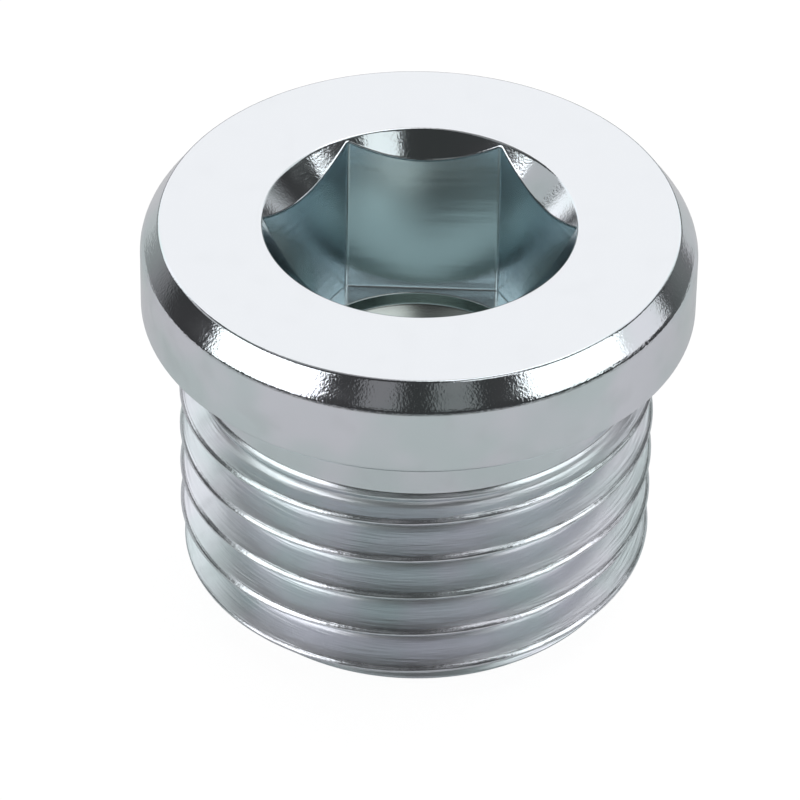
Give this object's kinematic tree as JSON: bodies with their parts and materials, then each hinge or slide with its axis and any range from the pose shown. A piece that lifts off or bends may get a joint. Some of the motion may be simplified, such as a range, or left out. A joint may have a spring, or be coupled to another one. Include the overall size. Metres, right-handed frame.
{
  "type": "hex socket screw plug",
  "caption": "Round collared screw plug with a hexagon socket in its top face, a short plain neck and a fine right-hand thread, for closing a threaded port.",
  "frame": {"origin": "centre of the flat thread end, on which the plug stands", "axes": "+Z along the plug's axis, from the thread end up to the collar's top face; hexagon corners on the X axis"},
  "size_m": [0.0164, 0.0164, 0.0125],
  "materials": {
    "zinc_plated_steel": "bright zinc plate over turned steel"
  },
  "bodies": {
    "root": {"screw_plug": "zinc_plated_steel"}
  },
  "joints": []
}
